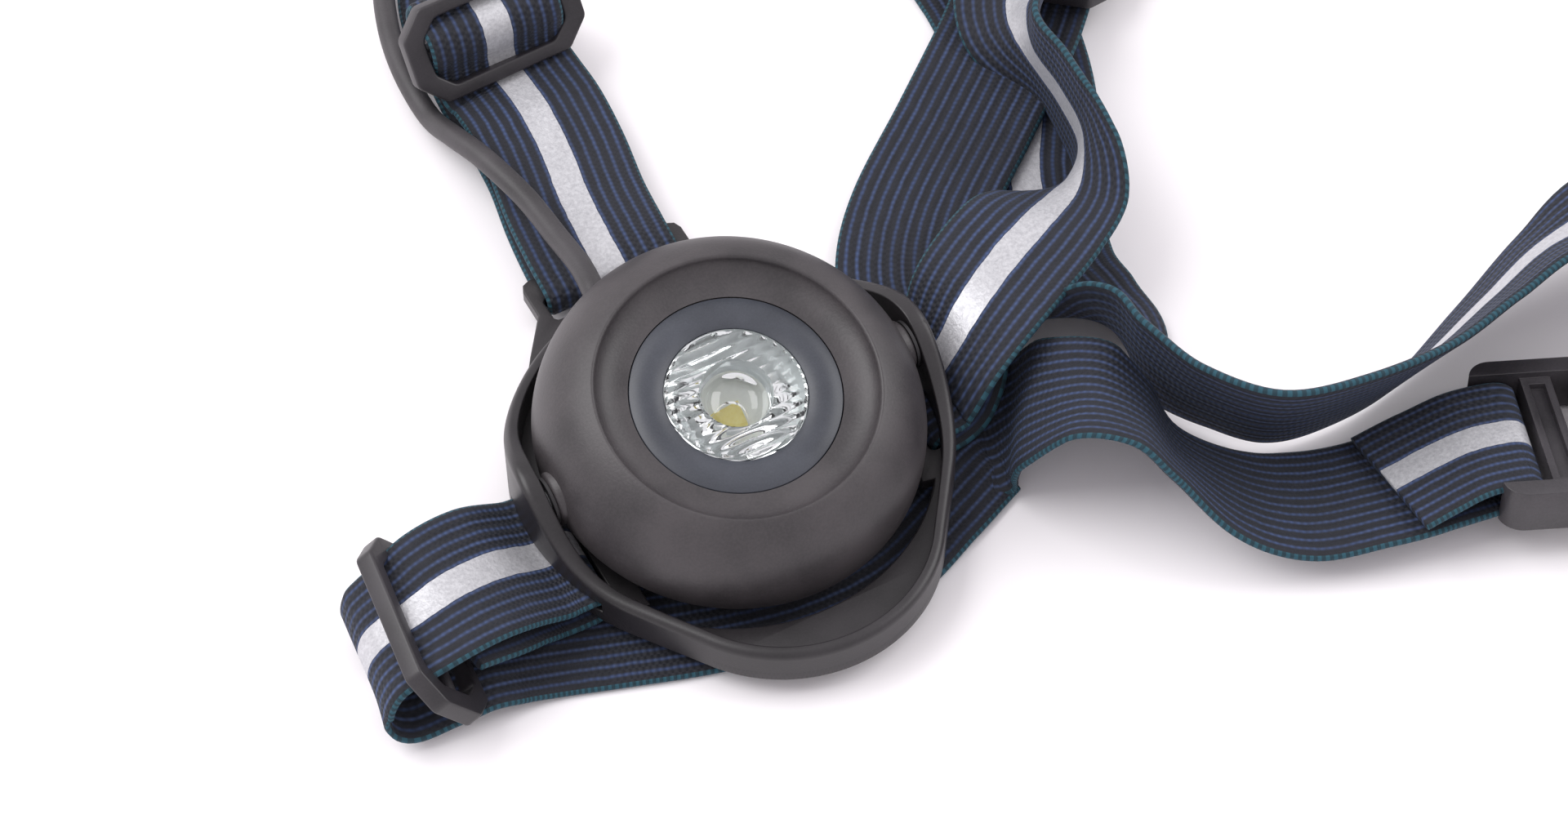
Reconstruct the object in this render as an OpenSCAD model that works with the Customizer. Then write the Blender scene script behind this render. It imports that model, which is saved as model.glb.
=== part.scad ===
// Strap-mounted headlamp: a tilting round lamp in a three-loop front plate, a webbing harness
// with slides and a side-release buckle, and a battery pack joined to the lamp by a cable.
// Origin: centre of the front plate's back face, straight behind the lamp's tilt axis.
// +X runs along the tilt axis, +Y towards the top strap loop, +Z out of the front plate.

/* [Lamp head] */
// Radius of the lamp's rim, where the front and rear shells meet
rim_r = 32.2; // [28:0.1:40]
// Height of the rim below the tilt axis, along the beam
rim_drop = 1.3; // [0:0.1:3]
// Radius of the raised crest around the face
crest_r = 23.5; // [20:0.1:26]
// Height of the crest above the tilt axis
crest_h = 13.7; // [12:0.1:18]
// Outer radius of the flat face ring
ring_r = 17.2; // [14:0.1:19]
// Height of the face ring's front above the tilt axis
ring_h = 10.4; // [9:0.1:12]
// Radius of the clear lens at its front
lens_r = 11.5; // [9:0.1:13]
// Radius of the lens's central well
well_r = 5.8; // [4:0.1:7]
// Wall of the two lamp shells
shell_wall = 1.8; // [1.2:0.1:2.5]
// Tilt of the beam at rest, down from the plate's normal
lamp_tilt = 12.5; // [0:0.5:16]
// Height of the tilt axis above the plate's back face
pivot_h = 12; // [11:0.5:16]
// Radius of the pivot pins
pin_r = 2.5; // [1.5:0.1:3]
// Running clearance of the pins in the plate's ears
pin_clearance = 0.05; // [0.02:0.01:0.1]

/* [Front plate] */
// Radius of the plate's outline at the ears
ear_r = 36.8; // [36.4:0.2:46]
// Radius of the scoop below the lamp
scoop_r = 26.5; // [24:0.5:32]
// How far the scoop's centre lies below the lamp's
scoop_shift = 17.5; // [10:0.5:22]
// Thickness of the plate's floor
floor_t = 2.5; // [2:0.1:4]
// Wall of the raised rim
rim_wall = 2; // [1.4:0.1:3]
// Height of the rim around the scoop
scoop_h = 7; // [4:0.5:9]
// Height of the ears at the tilt axis
ear_h = 17; // [15.5:0.5:22]
// Distance from the tilt axis to the top loop's outer edge
loop_y = 48.7; // [46:0.1:56]

/* [Webbing] */
// Width of the webbing
web_w = 25; // [20:1:26]
// Thickness of the webbing
web_t = 1.6; // [1:0.1:2]
// Clearance of the webbing in its slots, all round
web_gap = 0.4; // [0.2:0.1:0.6]
// Width of the bars that the webbing turns round
bar_w = 5; // [4:0.5:6]
// Overall length of a slide, along the webbing's width
slide_l = 33.5; // [30:0.5:36]
// Overall width of a slide, along the webbing's run
slide_w = 18; // [16:0.5:22]
// Thickness of a slide
slide_t = 3.2; // [2.4:0.1:4]

/* [Cable] */
// Diameter of the lamp cable
cable_d = 4; // [3:0.5:4]

/* [Buckle] */
// Width of the buckle
buckle_w = 32.5; // [32:0.5:40]
// Thickness of the buckle
buckle_t = 8; // [7:0.5:10]

/* [Battery pack] */
// Length of the pack
pack_l = 66; // [60:1:80]
// Width of the pack
pack_w = 40; // [36:1:50]
// Height of the pack without its loops
pack_h = 20; // [18:1:28]
// Wall of the pack's two shells
pack_wall = 1.8; // [1.4:0.1:2.5]
// Radius of the power button
button_r = 6; // [4:0.5:8]
// Travel of the power button
button_travel = 0.5; // [0.2:0.1:0.5]

/* [Hidden] */
$fn = 64;

slot_w = web_w + 2 * web_gap;             // along the webbing's width
slot_t = web_t + 2 * web_gap;             // across its thickness
loop_half = slot_w / 2 + 2.2;             // half the length of a loop, over its side posts
table_z = -2 * web_t - 0.8;               // what the part lies on: two layers pass under the plate
bar_x = ear_r - bar_w;                    // inner face of the side bars
ear_in = rim_r + 1.1;                     // inner face of the ears, clear of the lamp
bore_depth = 2.2;                         // how deep the pins sit in the ears
seam = 0.15;                              // gap of the fine joints between the face's pieces

// ---- outlines -------------------------------------------------------------------------

// A point of the plate's outline, where its normal has the angle a, moved inwards by g
function plate_point(a, g) =
    scoop_r - scoop_shift * sin(a) > ear_r
        ? [(scoop_r - g) * cos(a), -scoop_shift + (scoop_r - g) * sin(a)]
        : [(ear_r - g) * cos(a), (ear_r - g) * sin(a)];
function plate_outline(g) = [for (a = [0:5:355]) plate_point(a, g)];

// Height of the raised rim at the distance y above the tilt axis
function ear_bump(y) = (ear_h - scoop_h) * exp(-pow((y - 3) / (y > 3 ? 15 : 12), 2));
function rim_height(y) = min(scoop_h + ear_bump(y), max(floor_t, floor_t + (40 - y) * 0.7));

// A closed ring of points for rotate_extrude: radius and height of the dome's outer face
function dome_arc(g) = let (run = 14.9, rise = 16.5, end = asin((crest_h + rim_drop) / rise))
    [for (i = [0:12]) let (a = end * i / 12)
        [rim_r - g - run * (1 - cos(a)), -rim_drop + (rise - g) * sin(a)]];
function crater_arc(g) = let (out = crest_r - 0.6 - ring_r - seam, deep = crest_h - ring_h)
    [for (i = [8:-1:0]) let (a = 90 * i / 8)
        [ring_r + seam + out * sin(a) + g * 0.8, ring_h + deep * (1 - cos(a)) - g]];
function back_arc(g) = [for (i = [0:8]) let (r = rim_r * i / 8)
    [r * (1 - g / rim_r), -rim_drop - 7.2 * (1 - pow(i / 8, 1.5)) + g]];

// ---- helpers --------------------------------------------------------------------------

// A block with round upright edges, centred on its footprint
module rounded_block(l, w, h, r) {
    translate([-l / 2 + r, -w / 2, 0]) cube([l - 2 * r, w, h]);
    translate([-l / 2, -w / 2 + r, 0]) cube([l, w - 2 * r, h]);
    for (x = [-1, 1], y = [-1, 1])
        translate([x * (l / 2 - r), y * (w / 2 - r), 0]) cylinder(r = r, h = h);
}

module ring(r_out, r_in, h) {
    difference() {
        cylinder(r = r_out, h = h);
        translate([0, 0, -1]) cylinder(r = r_in, h = h + 2);
    }
}

// Screws with a domed head, pointing down from the origin's plane
module screw(shank_r, head_r, length) {
    cylinder(r = head_r, h = 1.2);
    translate([0, 0, -length]) cylinder(r = shank_r, h = length);
}

// ---- swept webbing and cable -----------------------------------------------------------

function unit(v) = v / norm(v);
function bend(p, i, t) = let (
        n = len(p) - 1, a = p[max(i - 1, 0)], b = p[i], c = p[min(i + 1, n)], d = p[min(i + 2, n)])
    0.5 * (2 * b + (c - a) * t + (2 * a - 5 * b + 4 * c - d) * t * t
           + (3 * b - a - 3 * c + d) * t * t * t);
function smooth(p, steps) = concat(
    [for (i = [0:len(p) - 2], k = [0:steps - 1]) bend(p, i, k / steps)], [p[len(p) - 1]]);
function along(p, i) = unit(p[min(i + 1, len(p) - 1)] - p[max(i - 1, 0)]);
function xyz(row) = [row[0], row[1], row[2]];
function across(row) = [cos(row[4]) * cos(row[3]), cos(row[4]) * sin(row[3]), sin(row[4])];

// The solid between rings of points that all have the same number of points
module skin(rings) {
    n = len(rings[0]);
    last = len(rings) - 1;
    points = [for (r = rings) each r];
    sides = [for (i = [0:last - 1], k = [0:n - 1]) let (m = (k + 1) % n)
        [i * n + k, i * n + m, (i + 1) * n + m, (i + 1) * n + k]];
    start = [[for (k = [n - 1:-1:0]) k]];
    end = [[for (k = [0:n - 1]) last * n + k]];
    polyhedron(points, concat(start, sides, end), convexity = 10);
}

// Webbing along rows of x, y, z and the azimuth and elevation of its width
module webbing(rows, steps = 3) {
    fine = smooth(rows, steps);
    spots = [for (r = fine) xyz(r)];
    rings = [for (i = [0:len(fine) - 1]) let (
            t = along(spots, i), w0 = across(fine[i]), w = unit(w0 - (w0 * t) * t), n = cross(t, w))
        [for (c = [[-1, -1], [-1, 1], [1, 1], [1, -1]])
            spots[i] + c[0] * w * web_w / 2 + c[1] * n * web_t / 2]];
    skin(rings);
}

module tube(route, d, sides, steps) {
    spots = smooth(route, steps);
    rings = [for (i = [0:len(spots) - 1]) let (
            t = along(spots, i), u = unit(cross(t, [0, 0, 1])), v = cross(u, t))
        [for (k = [0:sides - 1]) let (a = 360 * k / sides)
            spots[i] + (cos(a) * u + sin(a) * v) * d / 2]];
    skin(rings);
}

// ---- routes, chosen by hand ------------------------------------------------------------

cable_route = [[-8, 27.1, 12.5], [-8, 32, 13.4], [-7, 40, 12], [-7, 49, 10], [-7.5, 61, 8.4],
               [-9.5, 73, 7], [-11.2, 82, 4.5], [-11.8, 90, 1], [-11.8, 98, 0.6], [-11, 106, 0.6],
               [-9.2, 114, 0.6], [-6, 123, 0.6], [0, 136, 0.6], [12, 149, 1], [29, 160, 3],
               [46, 158, 6], [57, 149.4, 7.4], [63.5, 145.7, 7.4]];

top_rows = [[3.2, 97.4, 11, 0, 0], [3.3, 98, 6.5, 0, 0], [3.4, 96, 1.5, 0, 0],
            [3.6, 91, -1, -2, 0], [4, 84, -1.8, -5, 0], [3.4, 72, -2, -8, 0], [1.4, 60, -1.8, -8, 0],
            [0.2, 50, -1.2, -2, 0], [0, 44.8, -1.2, 0, 0], [0, 42.8, -0.3, 0, 0],
            [0, 42.3, 1.25, 0, 0], [0, 42.8, 2.8, 0, 0], [0, 44.8, 3.7, 0, 0],
            [0.2, 50, 4.2, -4, 0], [1.4, 60, 3.2, -8, 0], [3.3, 71, 2.8, -7, 0],
            [4.2, 81, 3, -4, 0], [4, 88.5, 3, -1, 0], [3.4, 92, 4.2, 0, 0], [3.3, 93, 8, 0, 0],
            [3.2, 92.6, 12.6, 0, 0], [3.2, 94.4, 15.6, 0, 0], [3.2, 98, 16, 0, 0],
            [3.3, 101.6, 16.8, 0, 0], [3.6, 104.4, 13, 0, 0], [4.2, 106.5, 6, 0, 0],
            [5.2, 110, 0, -4, 0], [8, 118, -2.4, -16, 0], [14, 128, -2.8, -30, 0],
            [24, 138, -2.9, -52, 0], [37, 146.5, -2.9, -78, 0], [53.7, 146.4, -2.9, -118.5, 0],
            [61.4, 142.2, -2.9, -118.5, 0], [63.4, 141.1, -1.8, -118.5, 0],
            [63.7, 140.9, 0, -118.5, 0], [62.8, 141.4, 2.3, -118.5, 0], [60.2, 142.8, 2.8, -118.5, 0],
            [56.8, 144.7, 0.6, -118.5, 0], [53.3, 146.6, -0.9, -118.5, 0]];

right_rows = [[98.5, 70, 1.4, -42, 0], [94, 65.5, -0.5, -45, 0], [87.5, 59.5, -1.1, -48, 0],
              [71, 46, -1.1, -51, 2], [55, 33, -1.1, -49, 2], [46, 22, -1.1, -36, 0],
              [42.3, 11, -0.6, -30, 3], [39.8, 2, -0.2, -58, 9], [36.5, -1.4, -1, -84, 0],
              [32.8, -2, -1.2, -90, 0], [31, -2, -0.3, -90, 0], [30.5, -2, 1.25, -90, 0],
              [31, -2, 2.8, -90, 0], [32.8, -2, 3.7, -90, 0], [36.5, -1.8, 3.8, -88, 2],
              [40, -1.4, 7.2, -82, 16], [47, 2.2, 12, -70, 8], [55.5, 6.8, 13, -64, 3],
              [64, 11, 12.6, -59, 6], [72.3, 15.3, 10.6, -51, 24], [78, 19.4, 10, -40, 62],
              [82.8, 26, 10, -27, 88], [84.4, 35.5, 10.2, -20, 94], [85, 45.5, 10, -19, 94],
              [87.4, 54.5, 9.2, -27, 58], [91.6, 61.4, 6.8, -37, 16], [96, 67.2, 5.4, -40, 2],
              [101.2, 73.4, 5.6, -40, 0], [108, 77.5, 6.5, -48, 4],
              [118, 78.5, 8, -72, 34], [130, 78.5, 8.9, -88, 66],
              [144, 77, 9.3, -88, 88], [157, 78, 9.4, -62, 88], [164.5, 83.5, 9, -6, 78],
              [161.5, 89, 7.2, 48, 52], [154.5, 92, 3.4, 60, 26], [147, 95.6, -0.2, 61.5, 7],
              [140, 99.4, -2.6, 61.5, 0], [134, 102.9, -2.9, 61.5, 0], [128.6, 105.8, -2.9, 61.5, 0],
              [126.6, 106.9, -1.8, 61.5, 0], [126.3, 107.1, 0, 61.5, 0], [127.2, 106.6, 2.3, 61.5, 0],
              [129.8, 105.2, 2.8, 61.5, 0], [133.2, 103.3, 0.6, 61.5, 0],
              [136.7, 101.4, -0.9, 61.5, 0]];

left_rows = [[-57, -8.2, 8.2, -88, -2], [-51.5, -7, 6, -87, -4], [-45, -5, 1.8, -88, 0],
             [-40, -4, -0.8, -88, 0], [-36.2, -4, -1.2, -90, 0], [-32.8, -4, -1.2, -90, 0],
             [-31, -4, -0.3, -90, 0], [-30.5, -4, 1.25, -90, 0], [-31, -4, 2.8, -90, 0],
             [-32.8, -4, 3.7, -90, 0], [-37.4, -4, 3.8, -90, 0], [-45, -5, 8, -83, -6],
             [-53.5, -7, 11, -79, -2], [-61, -8.5, 10.4, -84, 7], [-65.6, -8.5, 9, -94, 7],
             [-68.6, -8.5, 6.2, -95, 7], [-69.3, -9, 2, -97, 8], [-65.5, -10.5, -0.8, -103, -2],
             [-59, -11.2, 0.6, -97, -6], [-53.5, -11.6, 0.6, -96, -2], [-47, -11.9, -1.7, -100, 0],
             [-39.5, -13.4, -2.9, -107, 0], [-30, -16.5, -3.1, -108, 0], [-16, -21, -3.1, -103, 0],
             [-2, -24, -3.1, -95, 0], [12, -23.6, -3, -89, 0], [25, -18.5, -2.8, -88, 0],
             [37, -13.4, -2.9, -100, 0], [41.5, -13.8, -2.6, -108, 0], [45, -15.2, 1, -122, -8],
             [47, -18, 8, -128, -4], [53.5, -24.5, 14.6, -132, 14], [59, -31, 13, -127, 28],
             [62.5, -37.5, 6.8, -122, 33], [70, -46.5, 1.6, -125, 20], [78.5, -52, -0.2, -118, 11],
             [89, -55.6, 0.7, -114, 12], [98, -57, 0.5, -113, 12], [106, -58.4, 0.6, -113, 12],
             [112.4, -60, 1.1, -114, 12], [114.6, -60.7, 2, -114, 12], [115.2, -60.7, 3.4, -114, 12],
             [114.9, -60.3, 4.9, -114, 12], [112.8, -59.2, 5.7, -114, 12],
             [106, -57.5, 5.6, -112, 12], [99, -56.7, 4.2, -109, 12], [91.6, -56.4, 2.8, -106, 12]];

back_rows = [[174, -86.1, 6.2, -114, 12], [167.2, -83.2, 5.9, -114, 12], [164.6, -82.3, 5.1, -114, 12],
             [163.9, -82.3, 3.4, -114, 12], [164.3, -83, 1.6, -114, 12], [166.8, -84.2, 1, -114, 12],
             [171.8, -86.6, 0.9, -113, 12], [179, -88.5, 3.6, -108, 24], [185.5, -83.5, 8, -96, 56],
             [186.5, -72, 10, -80, 80], [180, -57, 11, -88, 80], [169, -43, 13, -110, 54],
             [154.5, -35, 14, -106, 14], [138, -34, 12.8, -98, 44], [123, -37.5, 9.8, -92, 56],
             [107, -42, 8.6, -82, 65], [91.8, -43, 9.6, -95, 70], [79, -40.4, 10.2, -118, 72],
             [71.3, -31, 9.8, -134, 74], [67.6, -21, 9.2, -150, 80], [67.4, -13, 7.4, -170, 76],
             [68, -5, 3.4, -184, 30], [67.4, 4, -1.2, -194, 2], [68.2, 14, -3, -206, 0],
             [75.4, 32, -3.1, -220, 0], [84, 45.6, -3.1, -216, 0], [89, 58.5, -3.1, -202, 0],
             [91, 70, -3.1, -190, 0], [91.6, 79, -2.9, -200, 0], [92.8, 86.5, -2.9, -208.5, 0],
             [97, 94.3, -2.9, -208.5, 0], [98.1, 96.2, -1.8, -208.5, 0],
             [98.3, 96.5, 0, -208.5, 0], [97.8, 95.6, 2.3, -208.5, 0],
             [96.4, 93, 2.8, -208.5, 0], [94.5, 89.6, 0.6, -208.5, 0],
             [92.6, 86.1, -0.9, -208.5, 0]];

// ---- places of the framed pieces -------------------------------------------------------

module in_lamp() { translate([0, 0, pivot_h]) rotate([lamp_tilt, 0, 0]) children(); }
module in_pack() { translate([95, 124, table_z]) rotate([0, 0, -28.5]) children(); }
module in_buckle() {
    translate([111.7, -59.1, 3.4]) rotate([0, 0, -24]) rotate([-12, 0, 0]) children();
}

// ---- front plate -----------------------------------------------------------------------

// How far the side loops' middles lie below the tilt axis: left, right
side_loop_y = [-4, -2];

module side_slots() {
    for (k = [0, 1]) let (s = 2 * k - 1, y = side_loop_y[k] - slot_w / 2) {
        translate([s * (bar_x - slot_t / 2) - slot_t / 2, y, -1])
            cube([slot_t, slot_w, floor_t + 1 + slot_t]);
        translate([s * (bar_x + bar_w / 2) - bar_w, y, floor_t]) cube([2 * bar_w, slot_w, slot_t]);
    }
}

module top_tab() {
    flare = ear_r * 0.72;
    difference() {
        linear_extrude(floor_t) polygon([[-flare, 24], [-20, 34], [-loop_half, 41],
            [-loop_half, loop_y - 2], [-loop_half + 2, loop_y], [loop_half - 2, loop_y],
            [loop_half, loop_y - 2], [loop_half, 41], [20, 34], [flare, 24]]);
        translate([-slot_w / 2, loop_y - bar_w - 5, -1]) cube([slot_w, 5, floor_t + 2]);
    }
}

module front_plate() {
    color("#2b292b") difference() {
        union() {
            linear_extrude(floor_t) polygon(plate_outline(0));
            top_tab();
            intersection() {
                difference() {
                    linear_extrude(ear_h) polygon(plate_outline(0));
                    translate([0, 0, -1]) linear_extrude(ear_h + 2)
                        polygon(plate_outline(rim_wall));
                }
                translate([-60, 0, 0]) rotate([90, 0, 90]) linear_extrude(120)
                    polygon(concat([[-60, 0]], [for (y = [-60:2.5:60]) [y, rim_height(y)]],
                                   [[60, 0]]));
            }
            for (s = [-1, 1]) intersection() {
                translate([s * (ear_in + 5) - 5, -7, floor_t + slot_t])
                    cube([10, 14, ear_h - floor_t - slot_t - 0.5]);
                linear_extrude(ear_h) polygon(plate_outline(rim_wall / 2));
            }
        }
        intersection() {
            translate([0, 0, -1]) cylinder(r = rim_r + 1.4, h = floor_t + 2);
            translate([-40, -60, -1]) cube([80, 40.5, floor_t + 2]);
        }
        translate([-25, -24, -1]) cube([50, 21, floor_t + 2]);
        translate([-8 - 5, 11, -1]) cube([10, 24.5, floor_t + 2]);
        side_slots();
        translate([-ear_in - bore_depth, 0, pivot_h]) rotate([0, 90, 0])
            cylinder(r = pin_r + pin_clearance, h = 2 * (ear_in + bore_depth));
    }
}

// ---- lamp head -------------------------------------------------------------------------

pin_seat = 4.4;                           // how far the pins reach into the lamp

module pivot_pins() {
    color("#8d9094") in_lamp() for (s = [-1, 1]) rotate([0, s * 90, 0])
        translate([0, 0, rim_r - pin_seat])
            cylinder(r = pin_r, h = ear_in + bore_depth - 0.3 - rim_r + pin_seat);
}

module friction_washers() {
    color("#1c1b1d") in_lamp() for (s = [-1, 1]) rotate([0, s * 90, 0])
        translate([0, 0, rim_r + 0.5]) ring(pin_r + 1.6, pin_r + pin_clearance, 0.5);
}

// Bosses that hold the pins, joined to the lamp's side
module pin_boss() {
    for (s = [-1, 1]) rotate([0, s * 90, 0])
        translate([0, 0, rim_r - 5]) cylinder(r = pin_r + 2, h = 5.4);
}

// Rows round the lamp of the four places where its shells are screwed together
module at_lamp_screws(h) {
    for (a = [45:90:315]) rotate([0, 0, a]) translate([22, 0, h]) children();
}

module lamp_shell() {
    color("#3a3739") in_lamp() difference() {
        union() {
            rotate_extrude($fn = 96) polygon(concat(dome_arc(0), crater_arc(0),
                [[ring_r + seam, ring_h - 2.2], [ring_r + 2, ring_h - 2.2],
                 [ring_r + 4.3, ring_h - 0.9]],
                [for (i = [10:-1:0]) dome_arc(shell_wall)[i]]));
            at_lamp_screws(-rim_drop + 0.2) cylinder(r = 2.4, h = ring_h + 0.6);
            intersection() {
                pin_boss();
                translate([0, 0, -rim_drop]) cylinder(r = 40, h = 20);
            }
        }
        at_lamp_screws(-5) cylinder(r = 1, h = 10);
        rotate([0, 90, 0]) translate([0, 0, -50]) cylinder(r = pin_r, h = 100);
    }
}

module face_ring() {
    color("#2f3136") in_lamp() translate([0, 0, ring_h - 2]) ring(ring_r, lens_r + seam, 2);
}

module lens() {
    color("#e8eef0", 0.5) in_lamp() rotate_extrude($fn = 96) polygon([
        [0, 0.9], [1.8, 0.9], [1.8, 0.4], [4.4, 0.4], [lens_r - 3, 6.2], [lens_r - 0.6, 8.2],
        [lens_r, 8.4], [lens_r, ring_h + 0.3], [well_r + 0.2, ring_h + 0.3],
        [well_r, ring_h - 0.2], [well_r, 6.2], [4.2, 7.4], [2.2, 8.2], [0, 8.5]]);
}

module lens_seal() {
    color("#1c1b1d") in_lamp() translate([0, 0, ring_h - 3.1]) ring(ring_r - 1, lens_r + 0.6, 0.9);
}

module lens_holder() {
    color("#222124") in_lamp() difference() {
        union() {
            translate([0, 0, -0.9]) cylinder(r = 7, h = 1.2);
            translate([0, 0, 0.2]) cylinder(r1 = 7, r2 = lens_r + 1.5, h = 6.9);
            translate([0, 0, 6.1]) cylinder(r = ring_r - 1, h = 1);
        }
        translate([0, 0, -1]) cylinder(r = 4.8, h = 1.2);
        translate([0, 0, 0.1]) cylinder(r1 = 4.8, r2 = lens_r - 2, h = 6.1);
        translate([0, 0, 6]) cylinder(r = lens_r + 0.3, h = 3);
    }
}

module led_emitter() {
    color("#f2e27a") in_lamp() {
        translate([-1.75, -1.75, -0.9]) cube([3.5, 3.5, 0.8]);
        translate([0, 0, -0.1]) cylinder(r = 1.2, h = 0.5);
    }
}

module led_board() {
    color("#f4f4ee") in_lamp() translate([0, 0, -2.3]) cylinder(r = 8, h = 1.2);
}

module heat_sink() {
    color("#b9bdc1") in_lamp() {
        translate([0, 0, -4]) cylinder(r = 10, h = 1.5);
        for (x = [-6, -3, 0, 3, 6]) translate([x - 0.5, -5, -5.6]) cube([1, 10, 1.7]);
    }
}

relief_h = -5.4;                          // the lamp's strain relief, below the tilt axis
relief_y = [16, 26.5];                    // where it starts and ends

module lamp_back() {
    color("#2b292b") in_lamp() difference() {
        union() {
            rotate_extrude($fn = 96) polygon(concat(back_arc(0),
                [[rim_r - shell_wall, -rim_drop]], [for (i = [6:-1:0]) back_arc(1.6)[i]]));
            at_lamp_screws(-4) cylinder(r = 3.2, h = 4 - rim_drop - 0.05);
            intersection() {
                pin_boss();
                translate([0, 0, -5]) cylinder(r = 40, h = 5 - rim_drop - 0.05);
            }
        }
        at_lamp_screws(-12) cylinder(r = 1.1, h = 20);
        at_lamp_screws(-12) cylinder(r = 2.1, h = 8);
        translate([-8, relief_y[0] - 2, relief_h]) rotate([-90, 0, 0]) cylinder(r = 3.1, h = 14);
        rotate([0, 90, 0]) translate([0, 0, -50]) cylinder(r = pin_r, h = 100);
    }
}

module lamp_screws() {
    color("#9a9ca0") in_lamp() at_lamp_screws(-4.2) mirror([0, 0, 1]) screw(1, 1.9, 7);
}

module lamp_strain_relief() {
    color("#242225") in_lamp() translate([-8, relief_y[0], relief_h]) rotate([-90, 0, 0])
        ring(3, cable_d / 2, relief_y[1] - relief_y[0]);
}

module cable() { color("#3b383a") tube(cable_route, cable_d, 8, 4); }

// ---- webbing and its hardware ----------------------------------------------------------

module strap_top() { color("#1a1f2b") webbing(top_rows); }
module strap_right() { color("#1a1f2b") webbing(right_rows); }
module strap_left() { color("#1a1f2b") webbing(left_rows); }
module strap_back() { color("#1a1f2b") webbing(back_rows); }

// A three-bar slide, its long side along X and its middle bar on the origin
module slide() {
    side = (slide_l - slot_w) / 2;
    gap = (slide_w - 2 * 2.6) / 2;
    difference() {
        translate([0, 0, -slide_t / 2]) rounded_block(slide_l, slide_w, slide_t, 3);
        translate([-slot_w / 2, -gap, -slide_t]) cube([slot_w, 2 * gap, 2 * slide_t]);
    }
    translate([-slide_l / 2 + side / 2, 0, 0]) rotate([0, 90, 0])
        cylinder(r = 1.2, h = slide_l - side);
}

module slide_top() { color("#232124") translate([3.3, 95.2, 12]) rotate([0, 0, 3]) rotate([58, 0, 0]) slide(); }
module slide_right() { color("#232124") translate([99.5, 71, 3.4]) rotate([0, 0, -40]) slide(); }
module slide_left() {
    color("#232124") translate([-60, -9.5, 7]) rotate([0, 0, 84]) rotate([55, 0, 0]) slide();
}

bar_r = 1.4;                              // the round bars that hold the webbing
latch_y = 11.4;                           // middle of a latch arm, from the buckle's middle

module buckle_bar(x) {
    translate([x, -buckle_w / 2 + 1, 0]) rotate([-90, 0, 0]) cylinder(r = bar_r, h = buckle_w - 2);
}

// The wide bar beside the webbing's bar, with a channel along its top
module channel_bar(x) {
    difference() {
        translate([x, -buckle_w / 2 + 1, -2.2]) cube([5.2, buckle_w - 2, 5]);
        translate([x + 1.3, -slot_w / 2 + 1.6, 1.6]) cube([2.6, slot_w - 3.2, 2]);
    }
}

module buckle_socket() {
    color("#232124") in_buckle() {
        difference() {
            translate([17, 0, -buckle_t / 2]) rounded_block(40, buckle_w, buckle_t, 4);
            translate([-4, -slot_w / 2, -buckle_t]) cube([19, slot_w, 2 * buckle_t]);
            translate([18, -buckle_w / 2 + 3, -buckle_t / 2 + 1.8])
                cube([22, buckle_w - 6, buckle_t - 3.6]);
            translate([22, -buckle_w, -buckle_t / 2 + 1.8]) cube([9, 2 * buckle_w, buckle_t - 3.6]);
        }
        buckle_bar(bar_r);
        channel_bar(5.6);
    }
}

module buckle_plug() {
    color("#232124") in_buckle() {
        difference() {
            translate([50, 0, -buckle_t / 2]) rounded_block(23, buckle_w, buckle_t, 4);
            translate([47.5, -slot_w / 2, -buckle_t]) cube([15, slot_w, 2 * buckle_t]);
        }
        buckle_bar(59.4);
        channel_bar(49);
        translate([20, -2, -1.8]) cube([20, 4, 3.6]);
    }
}

// One flexing arm, on the side s
module buckle_latch(s) {
    color("#232124") in_buckle() {
        translate([24, s * latch_y - 1.2, -1.8]) cube([13.2, 2.4, 3.6]);
        translate([37.2, s * latch_y, -1.8]) cylinder(r = 1.2, h = 3.6);
        translate([23.4, s * (latch_y + 2.6) - 2.6, -1.8]) cube([6.4, 5.2, 3.6]);
    }
}
module buckle_latch_near() { buckle_latch(-1); }
module buckle_latch_far() { buckle_latch(1); }

// ---- battery pack ----------------------------------------------------------------------

split_h = pack_h * 0.55;                  // where the pack's two shells meet
gasket_t = 0.8;                           // gap that the gasket fills
post_x = pack_l / 2 - 5;
post_y = pack_w / 2 - 5;
button_x = -18;
light_x = -6;
port_x = 8;                               // middle of the charging port
cable_y = 4;                              // where the cable leaves the pack's left end
cable_z = split_h + gasket_t / 2;

// A strap loop that stands out by the reach at an angle, shifted along its side
module pack_loop(angle, reach, shift = 0) {
    rotate([0, 0, angle]) translate([reach, shift, 0]) difference() {
        translate([1.6, 0, 2.4]) rounded_block(13, 2 * loop_half, 3, 2);
        translate([0.6, -slot_w / 2, 0]) cube([4.4, slot_w, 6]);
    }
}

module at_posts() {
    for (x = [-1, 1], y = [-1, 1]) translate([x * post_x, y * post_y, 0]) children();
}

// The cable's way through the pack's left end
module cable_way() {
    translate([-pack_l / 2 - 1, cable_y, cable_z]) rotate([0, 90, 0]) cylinder(r = 3.1, h = 6);
}

module pack_base() {
    color("#2b292b") in_pack() {
        difference() {
            rounded_block(pack_l, pack_w, split_h, 6);
            translate([0, 0, pack_wall])
                rounded_block(pack_l - 2 * pack_wall, pack_w - 2 * pack_wall, pack_h, 6 - pack_wall);
            cable_way();
            translate([port_x - 5, pack_w / 2 - 4, 4.4]) cube([10, 6, 4]);
        }
        at_posts() translate([0, 0, 1]) ring(3, 1, split_h - 1);
        pack_loop(180, pack_l / 2);
        pack_loop(0, pack_l / 2);
        pack_loop(-90, pack_w / 2, 16);
    }
}

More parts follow.
